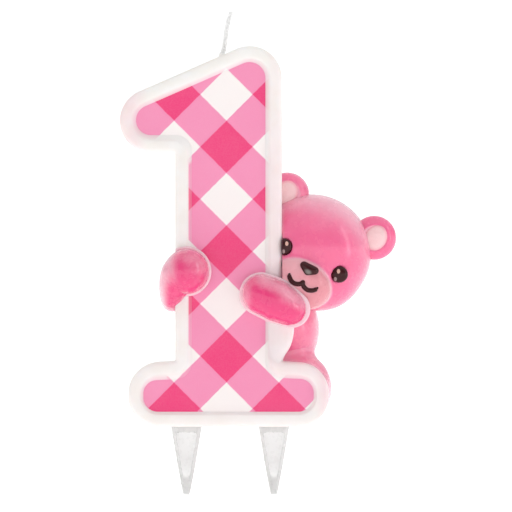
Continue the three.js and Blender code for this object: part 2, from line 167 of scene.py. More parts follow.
# Wick: its route seen from the front, which leaves the wax at the second stop
WICK_STOPS = [(-1.9, 66.0), (-1.3, 74.4), (-0.95, 76.0), (-0.6, 78.4)]
WICK_STOPS += [(-0.2, 80.9), (0.25, 82.4), (0.66, 83.5)]
WICK_Y = 0.6
WICK_LOW_Z = 70.0  # the braid is modelled from here up, the rest of it is inside the wax

# Picks
PICK_Y = 0.3
PICK_TIP_Z = box_mm("pick_left")[0][2]
PICK_RADIUS = 3.1
PICK_TIP_RADIUS = 0.7
PICK_WALL = 0.7
PICK_WEB = 1.0
RECESS_TOP = 1.3
RECESS_END = 11.6
RECESS_RUN_OUT = 6.0  # the height over which the grooves reach their full depth
RECESS_CORNER = 0.6
COLLAR_TOP = 0.2
COLLAR_EDGE = 0.12
TONGUE = np.array([3.2, 1.2, 10.2])
GAP = 0.3


# ---- Fields: negative inside, in millimetres ----


def ellipsoid(p, centre, radii):
    q = (p - centre) / radii
    size = np.linalg.norm(q, axis=1)
    slope = np.linalg.norm(q / radii, axis=1)
    return size * (size - 1) / np.maximum(slope, 1e-9)


def join(a, b, k):
    """The union of two fields, with a fillet of about k."""
    h = np.clip(0.5 + 0.5 * (b - a) / k, 0, 1)
    return b + (a - b) * h - k * h * (1 - h)


def common(a, b, k):
    return -join(-a, -b, k)


def carve(a, b, k):
    """Field a with field b cut out of it, its new edges rounded by about k."""
    return -join(-a, b, k)


def smooth(a, b, value):
    t = np.clip((value - a) / (b - a), 0, 1)
    return t * t * (3 - 2 * t)


def curve_points(stops, count):
    """Points along a smooth curve through the stops, evenly spread between them."""
    stops = np.array(stops, float)
    padded = np.vstack([2 * stops[0] - stops[1], stops, 2 * stops[-1] - stops[-2]])
    reach = np.linspace(0, len(stops) - 1, count)
    i = np.minimum(reach.astype(int), len(stops) - 2)
    t = (reach - i)[:, None]
    a, b, c, d = padded[i], padded[i + 1], padded[i + 2], padded[i + 3]
    bend = 2 * b + (c - a) * t + (2 * a - 5 * b + 4 * c - d) * t**2 + (3 * b - a - 3 * c + d) * t**3
    return bend / 2


def from_line(p, start, along, t):
    """How far points are from the places that lie t of the way along a line."""
    return np.linalg.norm(p - start - t[:, None] * along, axis=1)


def limb(p, stops, radii, count=21):
    """A round limb along a smooth curve, its radius eased from stop to stop."""
    line = curve_points(stops, count)
    reach = np.linspace(0, len(radii) - 1, count)
    thick = np.interp(reach, np.arange(len(radii)), radii)
    best = None
    for a, b, ra, rb in zip(line[:-1], line[1:], thick[:-1], thick[1:], strict=True):
        along = b - a
        length = np.linalg.norm(along)
        widening = (rb - ra) / length
        t = (p - a) @ along / length**2
        beside = from_line(p, a, along, t)
        t = np.clip(t + beside / length * widening / math.sqrt(max(1 - widening**2, 0.1)), 0, 1)
        away = from_line(p, a, along, t) - (ra + (rb - ra) * t)
        best = away if best is None else np.minimum(best, away)
    return best


def limb_box(stops, radii):
    """The corners of a box round a limb, with some room to spare."""
    reach = np.array(radii)[:, None] + 0.9
    return (np.array(stops) - reach).min(0), (np.array(stops) + reach).max(0)


def to_head(p):
    """Frame coordinates turned into the head's own frame."""
    x, y, z = (p - HEAD).T
    return np.stack([HEAD_COS * x - HEAD_SIN * z, y, HEAD_SIN * x + HEAD_COS * z], axis=1)


def from_head(q):
    x, y, z = np.moveaxis(np.asarray(q, float), -1, 0)
    return HEAD + np.stack([HEAD_COS * x + HEAD_SIN * z, y, HEAD_COS * z - HEAD_SIN * x], axis=-1)


def numeral_flat(p):
    """The numeral's outline near the bear: the stem and the foot, whose top climbs to the stem."""
    x, _, z = p.T
    climb = FOOT_RISE * np.clip((FOOT_HALF - np.abs(x)) / (FOOT_HALF - STEM_HALF), 0, 1)
    z = z - climb * smooth(4.0, FOOT_TOP, z)
    stem = np.maximum(np.abs(x) - STEM_HALF, FOOT_TOP / 2 - z)
    end = FOOT_HALF - FOOT_TOP / 2
    foot = np.hypot(np.maximum(np.abs(x) - end, 0), z - FOOT_TOP / 2) - FOOT_TOP / 2
    return np.minimum(stem, foot)


def numeral_solid(p):
    """The numeral near the bear as one field: its face with the rim, its edges and its back."""
    flat, y = numeral_flat(p), p[:, 1]
    face = np.interp(-flat, [1.7, RIM_FLAT, 3.3], [CREST_Y, CREST_Y + 0.1, PRINT_Y])
    shoulder = np.hypot(np.maximum(flat + RIM_ROUND, 0), np.maximum(CREST_Y + RIM_ROUND - y, 0)) - RIM_ROUND
    return np.maximum(np.where(flat < -RIM_ROUND, face - y, shoulder), y - BACK_Y)


SINK = 0.25  # how far the bear's pieces run into the numeral, so that no gap shows


def clear_of_numeral(form, p, k=0.2):
    """A form without what would lie deeper than SINK inside the numeral."""
    return carve(form, numeral_solid(p) + SINK, k)


def flared(form, base, k):
    """A form that spreads with a fillet onto the surface it stands on, as soft wax does."""
    return common(join(form, base + 0.07, k), form - 0.75 * k, 0.1)


def beside_stem(form, p, k):
    """A form without what would lie over the numeral's face or its rim."""
    return carve(form, np.maximum(p[:, 0] - STEM_HALF - 0.05, p[:, 1] - FLOOR_Y + 0.2), k)


# ---- Meshes ----


def slope_of(field, points, step=0.01):
    slope = np.empty_like(points)
    for axis in range(3):
        shift = np.zeros(3)
        shift[axis] = step
        slope[:, axis] = (field(points + shift) - field(points - shift)) / (2 * step)
    return slope


def draw_to(field, points, reach, rounds=3):
    """Moves points onto the field's zero level, at most reach at a time."""
    for _ in range(rounds):
        slope = slope_of(field, points)
        move = field(points)[:, None] * slope / np.maximum((slope**2).sum(1), 1e-6)[:, None]
        size = np.linalg.norm(move, axis=1, keepdims=True)
        points = points - move * np.minimum(1, reach / np.maximum(size, 1e-9))
    return points


def sampled(field, axes, cell, stride=4):
    """The field on a grid: worked out on every fourth line, and in full only near its zero level."""
    grid = np.stack(np.meshgrid(*axes, indexing="ij"), axis=-1)
    coarse = [np.unique(np.append(np.arange(0, len(a), stride), len(a) - 1)) for a in axes]
    rough = field(grid[np.ix_(*coarse)].reshape(-1, 3)).reshape([len(c) for c in coarse])
    below = []
    for lines, a in zip(coarse, axes, strict=True):
        after = np.searchsorted(lines, np.arange(len(a)), "right")
        below.append(np.clip(after - 1, 0, len(lines) - 2))
    nearest = np.full(grid.shape[:3], np.inf)
    for step in itertools.product((0, 1), repeat=3):
        corner = rough[np.ix_(*[b + s for b, s in zip(below, step, strict=True)])]
        nearest = np.minimum(nearest, np.abs(corner))
    value = rough[np.ix_(*below)]
    close = nearest < 1.4 * stride * cell
    value[close] = field(grid[close])
    return value


def skin(name, field, low, high, cell):
    """A closed mesh on the field's zero level inside a box: one vertex in each grid cell that the
    level crosses, drawn onto it, and one quad round each grid edge that it crosses."""
    low = np.array(low, float) - 2.5 * cell
    counts = np.ceil((np.array(high) + 2.5 * cell - low) / cell).astype(int) + 1
    axes = [low[i] + cell * np.arange(counts[i]) for i in range(3)]
    value = sampled(field, axes, cell)
    inside = value < 0
    corners = list(itertools.product((0, 1), repeat=3))
    size = counts - 1
    filled = sum(
        inside[i : i + size[0], j : j + size[1], k : k + size[2]].astype(np.int8) for i, j, k in corners
    )
    mixed = (filled > 0) & (filled < 8)
    cells = np.argwhere(mixed)
    number = np.full(mixed.shape, -1)
    number[mixed] = np.arange(len(cells))
    total, hits = np.zeros((len(cells), 3)), np.zeros(len(cells))
    for a, b in itertools.combinations(np.array(corners), 2):
        if np.abs(a - b).sum() != 1:
            continue
        va, vb = value[tuple((cells + a).T)], value[tuple((cells + b).T)]
        crossed = (va < 0) != (vb < 0)
        t = va[crossed] / (va[crossed] - vb[crossed])
        total[crossed] += a + t[:, None] * (b - a)
        hits[crossed] += 1
    points = low + cell * (cells + total / hits[:, None])
    quads = []
    for axis in range(3):
        u, v = np.eye(3, dtype=int)[(axis + 1) % 3], np.eye(3, dtype=int)[(axis + 2) % 3]
        start = np.take(inside, range(counts[axis] - 1), axis)
        end = np.take(inside, range(1, counts[axis]), axis)
        at = np.argwhere(start != end)
        ring = [number[tuple((at - shift).T)] for shift in (0 * u, u, u + v, v)]
        quad = np.stack(ring, axis=1)
        outward = start[tuple(at.T)]
        quads.append(np.where(outward[:, None], quad, quad[:, ::-1]))
    points = draw_to(field, points, cell / 2)
    return mesh_object(name, points, np.concatenate(quads).tolist())


def mesh_object(name, points, faces):
    mesh = bpy.data.meshes.new(name)
    mesh.from_pydata((np.asarray(points) * MM).tolist(), [], faces)
    mesh.validate()
    mesh.shade_smooth()
    piece = bpy.data.objects.new(name, mesh)
    bpy.context.scene.collection.objects.link(piece)
    return piece


def points_of(piece):
    flat = np.empty(3 * len(piece.data.vertices))
    piece.data.vertices.foreach_get("co", flat)
    return flat.reshape(-1, 3) / MM


def normals_of(piece):
    return np.array([v.normal[:] for v in piece.data.vertices])


def paint(piece, name, values):
    """Stores one number for each vertex, for the piece's material to read."""
    layer = piece.data.attributes.new(name, "FLOAT", "POINT")
    layer.data.foreach_set("value", np.asarray(values, np.float32))


def show(piece, material, node=None, body=BODY):
    """Gives a finished piece its material slot and body, and hides the CAD node that it stands for."""
    piece.data.materials.clear()
    piece.data.materials.append(material)
    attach(piece, body)
    if node:
        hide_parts(node)


# ---- Materials ----


def srgb(red, green, blue):
    """A colour given as it looks on a screen, 0 to 255, as the linear colour that shaders take."""
    steps = [value / 255 for value in (red, green, blue)]
    return [v / 12.92 if v <= 0.04045 else ((v + 0.055) / 1.055) ** 2.4 for v in steps] + [1.0]


class Nodes:
    """A short way to write a material's node tree."""

    def __init__(self, name):
        self.material = bpy.data.materials.new(name)
        self.material.use_nodes = True
        self.tree = self.material.node_tree
        self.shader = self.tree.nodes["Principled BSDF"]
        self.place = self.add("ShaderNodeTexCoord").outputs["Object"]

    def add(self, kind, settings=(), **inputs):
        node = self.tree.nodes.new(kind)
        for key, value in dict(settings).items():
            setattr(node, key, value)
        for key, value in inputs.items():
            self.put(node.inputs[key.replace("_", " ")], value)
        return node

    def put(self, socket, value):
        if isinstance(value, bpy.types.NodeSocket):
            self.tree.links.new(value, socket)
        else:
            socket.default_value = value

    def maths(self, operation, a, b=0.0):
        node = self.tree.nodes.new("ShaderNodeMath")
        node.operation = operation
        self.put(node.inputs[0], a)
        self.put(node.inputs[1], b)
        return node.outputs[0]

    def noise(self, size_mm, detail=3.0, place=None):
        """Smooth noise, 0 to 1, with lumps of about that size."""
        node = self.add("ShaderNodeTexNoise", Vector=place or self.place, Detail=detail)
        self.put(node.inputs["Scale"], 1 / (size_mm * MM))
        return node.outputs["Fac"]

    def between(self, value, low, high, to_low=0.0, to_high=1.0):
        node = self.add("ShaderNodeMapRange", {"interpolation_type": "SMOOTHSTEP"})
        for i, v in enumerate((value, low, high, to_low, to_high)):
            self.put(node.inputs[i], v)
        return node.outputs[0]

    def uneven(self, size_mm, low=0.0, high=1.0):
        """A value that wanders from low to high over lumps of about that size."""
        return self.between(self.noise(size_mm), 0.3, 0.7, low, high)

    def mix(self, amount, a, b):
        node = self.add("ShaderNodeMix", {"data_type": "RGBA"})
        self.put(node.inputs["Factor"], amount)
        self.put(node.inputs[6], a)
        self.put(node.inputs[7], b)
        return node.outputs[2]

    def stored(self, name):
        return self.add("ShaderNodeAttribute", {"attribute_name": name}).outputs["Fac"]

    def bump(self, height, depth_mm, strength=1.0, over=None):
        node = self.add("ShaderNodeBump", Height=height, Strength=strength, Distance=depth_mm * MM)
        if over is not None:
            self.put(node.inputs["Normal"], over)
        return node.outputs["Normal"]

    def set(self, **values):
        for key, value in values.items():
            self.put(self.shader.inputs[key.replace("_", " ")], value)
        return self.material


def wax_surface(nodes, low=0.3, high=0.46, swell_mm=0.03):
    """The skin that every wax piece shares: slow swells from the mould, fine bloom and pits."""
    swell = nodes.bump(nodes.noise(3.2, 2.0), swell_mm)
    grain = nodes.bump(nodes.noise(0.35, 4.0), 0.004, over=swell)
    bloom = nodes.between(nodes.noise(1.6, 5.0), 0.35, 0.7, low, high)
    nodes.set(Roughness=bloom, Normal=grain, IOR=1.44)


def soften(nodes, weight, scale_mm, radius):
    nodes.set(Subsurface_Weight=weight, Subsurface_Radius=radius, Subsurface_Scale=scale_mm * MM)


def gingham_colours(nodes):
    """Two crossed sets of stripes: none, one or both make white, pink or deep pink."""
    split = nodes.add("ShaderNodeSeparateXYZ", Vector=nodes.place)
    across = nodes.maths("SUBTRACT", split.outputs["X"], CHECK_X * MM)
    up = nodes.maths("SUBTRACT", split.outputs["Z"], CHECK_Z * MM)
    wobble = nodes.between(nodes.noise(1.2), 0.0, 1.0, -0.06 * MM, 0.06 * MM)
    stripes = []
    for direction in ("ADD", "SUBTRACT"):
        slanted = nodes.maths("DIVIDE", nodes.maths(direction, across, up), math.sqrt(2))
        from_middle = nodes.maths("PINGPONG", nodes.maths("ADD", slanted, wobble), CHECK_SIDE * MM)
        edge, half = 0.12 * MM, CHECK_SIDE * MM / 2
        stripes.append(nodes.between(from_middle, half - edge, half + edge, 1.0, 0.0))
    both = nodes.maths("MULTIPLY", nodes.maths("ADD", *stripes), 0.5)
    ramp = nodes.add("ShaderNodeValToRGB", Fac=both)
    colours = ramp.color_ramp.elements
    colours[0].color = srgb(255, 246, 244)
    colours[1].color = srgb(244, 60, 126)
    colours.new(0.5).color = srgb(250, 148, 188)
    return ramp.outputs["Color"]


def ivory_wax():
    """Ivory wax, faintly pink beside pink wax, and with the gingham running a little way up the rim."""
    nodes = Nodes("ivory_wax")
    cloud = nodes.mix(nodes.between(nodes.noise(5.0), 0.35, 0.65), srgb(247, 244, 239), srgb(250, 248, 245))
    cloudy = nodes.between(nodes.noise(2.4), 0.2, 0.6, 0.75, 1.0)
    tinge = nodes.maths("MULTIPLY", nodes.stored("tinge"), cloudy)
    tone = nodes.mix(tinge, cloud, srgb(246, 190, 205))
    wax_surface(nodes, 0.34, 0.5)
    soften(nodes, 0.35, 1.2, (1.0, 0.85, 0.75))
    return nodes.set(Base_Color=nodes.mix(nodes.stored("bleed"), tone, gingham_colours(nodes)))


def sprayed_wax(name, pale, deep, roughness=(0.24, 0.4)):
    """Coloured wax with a deeper colour airbrushed on, as much as the piece's stored spray says."""
    nodes = Nodes(name)
    speckle = nodes.between(nodes.noise(0.5, 5.0), 0.3, 0.7, -0.02, 0.02)
    patch = nodes.uneven(4.0, -0.04, 0.04)
    amount = nodes.maths("ADD", nodes.stored("spray"), nodes.maths("ADD", speckle, patch))
    amount = nodes.between(amount, 0.0, 1.0)
    wax_surface(nodes, *roughness, swell_mm=0.018)
    soften(nodes, 0.25, 0.9, (1.0, 0.55, 0.6))
    nodes.set(Coat_Weight=0.6, Coat_Roughness=0.1)
    return nodes.set(Base_Color=nodes.mix(amount, pale, deep))


def gingham_print():
    nodes = Nodes("gingham_print")
    dots = nodes.between(nodes.noise(0.22, 3.0), 0.35, 0.65)
    faded = nodes.mix(nodes.maths("MULTIPLY", dots, 0.025), gingham_colours(nodes), srgb(253, 244, 246))
    patch = nodes.between(nodes.noise(9.0), 0.35, 0.65, 0.0, 0.03)
    wax_surface(nodes, 0.3, 0.44, swell_mm=0.03)
    soften(nodes, 0.12, 0.5, (1.0, 0.7, 0.7))
    return nodes.set(Base_Color=nodes.mix(patch, faded, srgb(255, 200, 220)))


def black_paint():
    nodes = Nodes("black_paint")
    thick = nodes.bump(nodes.noise(0.6, 2.0), 0.02)
    dark = nodes.mix(nodes.noise(0.9), srgb(46, 6, 10), srgb(66, 14, 20))
    # Grey where the stored painted highlight is: a reflection painted onto the nose's lower middle.
    tone = nodes.mix(nodes.stored("painted_highlight"), dark, srgb(132, 124, 120))
    sheen = nodes.uneven(0.7, 0.14, 0.26)
    return nodes.set(Base_Color=tone, Roughness=sheen, Normal=thick, Specular_IOR_Level=0.3)


# Paint for the eyes' glints: painted highlights that stand in for reflections of the lights, cream high on
# each eye and grey low down.
def painted_glint(name, dark, light):
    nodes = Nodes(name)
    tone = nodes.mix(nodes.noise(0.3), dark, light)
    return nodes.set(Base_Color=tone, Roughness=nodes.uneven(0.3, 0.2, 0.35))


def waxed_cotton():
    """Cotton yarn stiffened with wax: fine fibres along each strand."""
    nodes = Nodes("waxed_cotton")
    fibres = nodes.noise(0.09, 4.0)
    tone = nodes.mix(nodes.between(fibres, 0.3, 0.7), srgb(253, 253, 252), srgb(255, 255, 254))
    soften(nodes, 0.3, 0.3, (1.0, 1.0, 0.95))
    rough = nodes.uneven(0.4, 0.5, 0.8)
    return nodes.set(Base_Color=tone, Roughness=rough, Normal=nodes.bump(fibres, 0.006), Sheen_Weight=0.2)


def milky_plastic():
    """Moulded natural polypropylene: milky, with faint flow marks down its length, and near white where the
    web between the spike's walls is thin, a painted backlight.
    """
    nodes = Nodes("milky_plastic")
    flow = nodes.add("ShaderNodeMapping", Vector=nodes.place, Scale=(1.0, 1.0, 0.18))
    marks = nodes.noise(0.9, 4.0, flow.outputs[0])
    body = nodes.mix(nodes.between(marks, 0.3, 0.7), srgb(212, 212, 211), srgb(217, 217, 216))
    # Near white where the stored thin mask is: painted backlight through the web.
    tone = nodes.mix(nodes.stored("thin"), body, srgb(253, 253, 252))
    soften(nodes, 0.4, 1.0, (1.0, 1.0, 1.0))
    rough = nodes.uneven(0.8, 0.24, 0.36)
    return nodes.set(Base_Color=tone, Roughness=rough, Normal=nodes.bump(marks, 0.004), IOR=1.49)


# ---- Numeral ----


def outline_corners():
    flag_tip = STEM_HALF - (STEM_TOP - FLAG_BOTTOM) / TOP_SLOPE
    return [
        (-FOOT_HALF, 0, FOOT_ROUND),
        (FOOT_HALF, 0, FOOT_ROUND),
        (FOOT_HALF, FOOT_TOP, FOOT_ROUND),
        (STEM_HALF, FOOT_TOP + FOOT_RISE, INNER_ROUND),
        (STEM_HALF, STEM_TOP, TOP_ROUND),
        (flag_tip, FLAG_BOTTOM, FLAG_ROUND),
        (-STEM_HALF, FLAG_BOTTOM, INNER_ROUND),
        (-STEM_HALF, FOOT_TOP + FOOT_RISE, INNER_ROUND),
        (-FOOT_HALF, FOOT_TOP, FOOT_ROUND),
    ]


def print_corners():
    top = STEM_TOP - PRINT_SLOPE_DROP
    flag_tip = STEM_HALF - (top - PRINT_FLAG) / TOP_SLOPE
    left, right = PRINT_STEM
    return [
        (-PRINT_END, PRINT_BOTTOM, 2.9),
        (PRINT_END, PRINT_BOTTOM, 3.1),
        (PRINT_END, PRINT_FOOT_RIGHT[0], 2.9),
        (right, PRINT_FOOT_RIGHT[1], 3.3),
        (right, top - (STEM_HALF - right) * TOP_SLOPE, 3.2),
        (flag_tip, PRINT_FLAG, 3.0),
        (left, PRINT_FLAG, 3.2),
        (left, PRINT_FOOT_LEFT[1], 3.3),
        (-PRINT_END, PRINT_FOOT_LEFT[0], 2.7),
    ]


def rounded_corner(before, corner, after, steps=24):
    """The arc that rounds a corner, and its outward normals."""
    x, z, radius = corner
    heading = math.atan2(z - before[1], x - before[0])
    leaving = math.atan2(after[1] - z, after[0] - x)
    turn = (leaving - heading + math.pi) % (2 * math.pi) - math.pi
    reach = radius * math.tan(abs(turn) / 2)
    bend = math.copysign(radius, turn)
    centre = np.array([x, z]) - reach * np.array([math.cos(heading), math.sin(heading)])
    centre += bend * np.array([-math.sin(heading), math.cos(heading)])
    angles = heading + turn * np.linspace(0, 1, steps + 1)
    normals = np.stack([np.sin(angles), -np.cos(angles)], axis=1)
    return centre + bend * normals, normals


def outline(corners, runs=None, step_mm=0.8):
    """A rounded outline, anticlockwise from the front: points, outward normals, and how many steps
    each straight run took. Two outlines with the same runs match point by point."""
    count = len(corners)
    arcs = [rounded_corner(corners[i - 1], corners[i], corners[(i + 1) % count]) for i in range(count)]
    gaps = [arcs[(i + 1) % count][0][0] - arcs[i][0][-1] for i in range(count)]
    runs = runs or [max(1, round(np.linalg.norm(gap) / step_mm)) for gap in gaps]
    points, normals = [], []
    for (arc, normal), gap, run in zip(arcs, gaps, runs, strict=True):
        t = np.arange(1, run)[:, None] / run
        points += [arc, arc[-1] + gap * t]
        normals += [normal, np.repeat(normal[-1:], run - 1, axis=0)]
    return np.concatenate(points), np.concatenate(normals), runs


OUTLINE, OUTWARD, RUNS = outline(outline_corners())
PRINT_LINE, PRINT_OUTWARD, _ = outline(print_corners(), RUNS)


def ring_at(inset, y, slide=0.0):
    """The outline moved inwards, and slid from there towards the print's outline, at depth y."""
    flat = OUTLINE - inset * OUTWARD
    return upright(flat + slide * (PRINT_LINE - flat), y)


def upright(flat, y):
    """A flat line stood up at depth y."""
    return np.stack([flat[:, 0], np.full(len(flat), y), flat[:, 1]], axis=1)


def level(flat, x, z):
    """A flat line laid at height z, round a pick's axis at x."""
    return np.stack([x + flat[:, 0], PICK_Y + flat[:, 1], np.full(len(flat), z)], axis=1)


def closed_faces(rings, count):
    """The faces of a closed body through that many rings of count points each."""
    faces = [list(range(count))[::-1]]
    for a in range(0, (rings - 1) * count, count):
        for j in range(count):
            k = (j + 1) % count
            faces.append([a + j, a + k, a + count + k, a + count + j])
    return faces + [list(range((rings - 1) * count, rings * count))]


def loft(name, rings):
    """Closed body through rings of equal length, from the back one to the front one."""
    return mesh_object(name, np.concatenate(rings), closed_faces(len(rings), len(rings[0])))


def rim_rings():
    """The rim's section: a round outer shoulder, a flat top, and a slope down to the print."""
    turn = np.linspace(0, math.pi / 2, 11)
    top = CREST_Y + 0.05
    rings = [ring_at(RIM_ROUND * (1 - math.cos(t)), top + RIM_ROUND * (1 - math.sin(t))) for t in turn]
    rings += [ring_at(1.2, CREST_Y + 0.015), ring_at(1.5, CREST_Y), ring_at(1.8, CREST_Y + 0.01)]
    rings += [ring_at(RIM_FLAT - 0.08, CREST_Y + 0.035), ring_at(RIM_FLAT, CREST_Y + 0.085)]
    drop = PRINT_Y - 0.04 - CREST_Y - 0.15
    rings += [ring_at(RIM_FLAT + 0.06, CREST_Y + 0.15 + drop * t**0.8, t) for t in np.linspace(0, 1, 9)]
    return rings + [ring_at(RIM_FLAT, PRINT_Y + 0.2, 1.0)]


def numeral_rings():
    """From the shallow dish that the wax leaves in the back as it shrinks, round to the recess."""
    steps, sides = 8, 10
    rings = [ring_at(5.0, BACK_Y - 0.22), ring_at(3.2, BACK_Y - 0.18), ring_at(2.0, BACK_Y - 0.07)]
    rings.append(ring_at(1.35, BACK_Y - 0.01))
    for i in range(steps + 1):
        t = math.pi / 2 * i / steps
        rings.append(ring_at(BACK_ROUND * (1 - math.sin(t)), BACK_Y - BACK_ROUND * (1 - math.cos(t))))
    start, depth = BACK_Y - BACK_ROUND, CREST_Y + RIM_ROUND - BACK_Y + BACK_ROUND
    rings += [ring_at(0.0, start + depth * i / sides) for i in range(1, sides)]
    return rings + rim_rings()


def cut_with(piece, cutters):
    """Cuts closed cutters out of a piece and removes them."""
    for cutter in cutters:
        change = piece.modifiers.new("cut", "BOOLEAN")
        change.operation = "DIFFERENCE"
        change.solver = "EXACT"
        change.object = cutter
    graph = bpy.context.evaluated_depsgraph_get()
    mesh = bpy.data.meshes.new_from_object(piece.evaluated_get(graph), depsgraph=graph)
    piece.modifiers.clear()
    piece.data = mesh
    for cutter in cutters:
        bpy.data.objects.remove(cutter)


def slab(name, low, high):
    """A plain cutter between two corners."""
    corners = list(itertools.product(*zip(low, high, strict=True)))
    faces = [[0, 1, 3, 2], [4, 6, 7, 5], [0, 4, 5, 1], [2, 3, 7, 6], [0, 2, 6, 4], [1, 5, 7, 3]]
    return mesh_object(name, corners, faces)


def disc(name, x, radius, low_z, high_z, sides=64):
    """A round cutter on a pick's axis."""
    turn = np.linspace(0, 2 * math.pi, sides, endpoint=False)
    flat = radius * np.stack([np.cos(turn), np.sin(turn)], axis=1)
    return loft(name, [level(flat, x, z) for z in (low_z, high_z)])


def pick_x(side):
    low, high = box_mm(f"pick_{side}")
    return (low[0] + high[0]) / 2


def build_numeral(ivory, print_material):
    numeral = loft("numeral_cast", numeral_rings())
    cutters = []
    for side in ("left", "right"):
        x = pick_x(side)
        wide, deep = TONGUE[:2] / 2 + GAP
        top = COLLAR_TOP + TONGUE[2] + GAP
        cutters.append(slab("slot", (x - wide, PICK_Y - deep, -1), (x + wide, PICK_Y + deep, top)))
        cutters.append(disc("well", x, PICK_RADIUS + GAP, -1, COLLAR_TOP + GAP))
    cut_with(numeral, cutters)
    numeral.data.set_sharp_from_angle(angle=math.radians(38))
    paint(numeral, "tinge", rim_tinge(points_of(numeral)))
    paint(numeral, "bleed", rim_bleed(points_of(numeral)))
    show(numeral, ivory, "numeral_body")

    spread = PRINT_LINE + 0.3 * PRINT_OUTWARD
    face = loft("gingham_face", [upright(spread, y) for y in (PRINT_Y + 0.3, PRINT_Y)])
    face.data.set_sharp_from_angle(angle=math.radians(30))
    show(face, print_material, "gingham_panel")


def inside_line(p, line, outward):
    """How far inside a closed line each point lies, seen from the front."""
    flat = p[:, [0, 2]]
    best = np.full(len(flat), np.inf)
    depth = np.zeros(len(flat))
    for point, normal in zip(line, outward, strict=True):
        away = ((flat - point) ** 2).sum(1)
        near = away < best
        best = np.where(near, away, best)
        depth = np.where(near, (point - flat) @ normal, depth)
    return depth


def rim_tinge(p):
    """Pink in the ivory wax: beside the bear, at the foot's right end and at the flag's tip, and a
    little on the front, least high up."""
    x, y, z = p.T
    beside = smooth(7.6, 8.6, x) * smooth(3, 14, z) * (0.1 + 0.12 * (1 - smooth(46, 68, z)))
    foot_end = 0.3 * smooth(17.0, 19.5, x) * (1 - smooth(10, 13, z))
    flag_tip = 0.3 * (1 - smooth(-19.5, -15.5, x)) * smooth(54, 57, z)
    front = 1 - smooth(CREST_Y + 1.5, BACK_Y - 4, y)
    return front * (0.03 + 0.05 * (1 - smooth(45, 72, z))) + beside + foot_end + flag_tip


def rim_bleed(p):
    """How much of the gingham shows on the rim's inner slope: most left of the stem, softly elsewhere."""
    inset = inside_line(p, OUTLINE, OUTWARD) - RIM_FLAT
    left = np.maximum(-inside_line(p, PRINT_LINE, PRINT_OUTWARD), 0)
    slope = np.clip(inset / np.maximum(inset + left, 0.05), 0, 1)
    x, y, z = p.T
    crisp = (x < -6) & (x > -12) & (z > 9) & (z < 53)
    soft = 0.35 * slope * smooth(PRINT_BOTTOM, PRINT_BOTTOM + 1.2, z)
    return np.where(crisp, 0.85 * smooth(0.2, 0.45, slope), soft) * (y < CREST_Y + 2)


def build_web(ivory):
    """The web of ivory wax between the stem's side and the bear, flush with the rim."""

    def field(p):
        q = p - WEB
        oval = (np.hypot(q[:, 0] / WEB_REACH, q[:, 2] / WEB_HALF_HEIGHT) - 1) * WEB_REACH
        lump = common(oval, np.abs(q[:, 1]) - (WEB[1] - CREST_Y), 1.4)
        return clear_of_numeral(flared(lump, numeral_solid(p), 1.2), p, 0.1)

    web = skin("stem_web", field, (8.4, -6.3, 12.2), (14.6, 4.6, 28.2), 0.2)
    paint(web, "tinge", np.full(len(web.data.vertices), 0.26))
    show(web, ivory)


# ---- Wick ----


def headings(points):
    ahead = np.gradient(points, axis=0)
    return ahead / np.linalg.norm(ahead, axis=1, keepdims=True)


def tube(points, radii, sides=12):
    """Rings round a line of points, as vertices and faces."""
    ahead = headings(points)
    side = np.cross(ahead, (0.0, 1.0, 0.0))
    side /= np.linalg.norm(side, axis=1, keepdims=True)
    rise = np.cross(side, ahead)
    turn = np.linspace(0, 2 * math.pi, sides, endpoint=False)
    around = np.cos(turn)[None, :, None] * side[:, None] + np.sin(turn)[None, :, None] * rise[:, None]
    vertices = (points[:, None] + around * np.asarray(radii)[:, None, None]).reshape(-1, 3)
    return vertices, closed_faces(len(points), sides)


def build_wick(cotton, ivory):
    """Three plaited strands with a blunt, slightly frayed tip, and the wax that creeps up them."""
    line = curve_points([(x, WICK_Y, z) for x, z in WICK_STOPS], 900)
    line = line[line[:, 2] > WICK_LOW_Z]
    run = np.concatenate([[0], np.cumsum(np.linalg.norm(np.diff(line, axis=0), axis=1))])
    side = np.cross(headings(line), (0.0, 1.0, 0.0))
    pitch, sway, lift, thick = 2.4, 0.17, 0.1, 0.32
    vertices, faces = [], []
    for strand in range(3):
        phase = 2 * math.pi * (run / pitch + strand / 3)
        path = line + side * (sway * np.sin(phase))[:, None]
        path[:, 1] += lift * np.sin(2 * phase)
        path = path[::4][: -3 * strand or None]
        left = np.linspace(len(path) - 1, 0, len(path)) * 0.06
        radii = thick * np.sqrt(np.clip(left / 0.25, 0.04, 1))
        ring, ring_faces = tube(path, radii)
        base = sum(len(v) for v in vertices)
        faces += [[base + i for i in face] for face in ring_faces]
        vertices.append(ring)
    wick = mesh_object("braided_wick", np.concatenate(vertices), faces)
    show(wick, cotton, "wick")

    foot = line[np.argmin(np.abs(line[:, 2] - (WICK_STOPS[1][1] + 0.1)))]
    slope = np.array([-TOP_SLOPE, 0, 1]) / math.hypot(TOP_SLOPE, 1)

    def field(p):
        over = (p - foot) @ slope
        cone = from_line(p, foot, slope, over) - 0.42 - 0.6 * np.exp(-np.maximum(over, 0) / 0.28)
        return np.maximum(common(cone, over - 0.75, 0.2), -over - 0.35)

    collar = skin("wick_wax_collar", field, foot - 1.9, foot + 1.9, 0.09)
    paint(collar, "tinge", np.zeros(len(collar.data.vertices)))
    show(collar, ivory)


# ---- Picks ----


def pick_radius(z):
    up = np.clip((z - PICK_TIP_Z - PICK_TIP_RADIUS) / -(PICK_TIP_Z + PICK_TIP_RADIUS), 0, 1)
    return PICK_TIP_RADIUS + (PICK_RADIUS - PICK_TIP_RADIUS) * up**0.9


